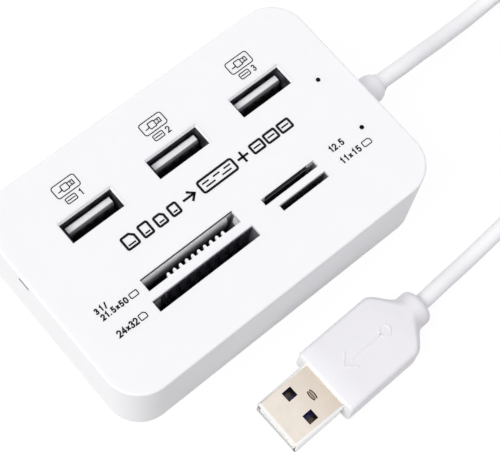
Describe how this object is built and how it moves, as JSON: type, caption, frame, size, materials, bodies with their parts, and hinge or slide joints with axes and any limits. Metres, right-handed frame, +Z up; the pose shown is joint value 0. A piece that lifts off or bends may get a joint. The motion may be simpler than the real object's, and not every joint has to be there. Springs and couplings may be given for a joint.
{
  "type": "usb hub card reader combo",
  "caption": "White desktop hub box with upright port sockets and memory card slots in its top, on a short captive lead with a flat plug.",
  "frame": {"origin": "middle of the housing's footprint, on the table", "axes": "+X along the row of ports towards the lead's gland, +Y from the card slots towards the ports, +Z up"},
  "size_m": [0.1663, 0.0766, 0.022],
  "materials": {
    "housing_white": "fine satin moulded white",
    "foot_rubber": "matt dark grey",
    "screw_steel": "plated",
    "board_green": "solder mask",
    "port_steel": "bright nickel plate",
    "insert_dark": "moulded, dark blue black",
    "insert_white": "moulded white",
    "contact_gold": "gold plated",
    "socket_black": "moulded black",
    "chip_black": "matt epoxy",
    "crystal_can": "drawn can",
    "capacitor_sleeve": "shrunk sleeve",
    "resistor_body": "glazed",
    "led_clear": "clear over pale carrier",
    "wire_sleeve": "thin coloured sleeves",
    "lead_white": "satin flexible white",
    "tie_white": "ribbed film over wire",
    "plug_nickel": "warm nickel plate"
  },
  "bodies": {
    "root": {"top_cover": "housing_white", "bottom_cover": "housing_white", "rubber_feet": "foot_rubber", "cover_screws": "screw_steel", "main_board": "board_green", "port_shell_1": "port_steel", "port_shell_2": "port_steel", "port_shell_3": "port_steel", "port_insert_1": "insert_white", "port_insert_2": "insert_white", "port_insert_3": "insert_white", "port_contacts_1": "contact_gold", "port_contacts_2": "contact_gold", "port_contacts_3": "contact_gold", "wide_card_socket": "socket_black", "wide_socket_shield": "port_steel", "full_card_contacts": "contact_gold", "stick_card_contacts": "contact_gold", "narrow_card_socket": "socket_black", "narrow_socket_shield": "port_steel", "small_card_contacts": "contact_gold", "short_stick_contacts": "contact_gold", "hub_chip": "chip_black", "reader_chip": "chip_black", "crystal": "crystal_can", "capacitors": "capacitor_sleeve", "chip_resistors": "resistor_body", "power_led": "led_clear", "activity_led": "led_clear", "strain_relief": "lead_white", "lead_wires": "wire_sleeve", "cord_hub_end": "lead_white", "cord_coil": "lead_white", "cord_tie": "tie_white", "cord_plug_end": "lead_white", "plug_grip": "lead_white", "plug_tube": "plug_nickel", "plug_insert": "insert_dark", "plug_contacts": "contact_gold"}
  },
  "joints": []
}
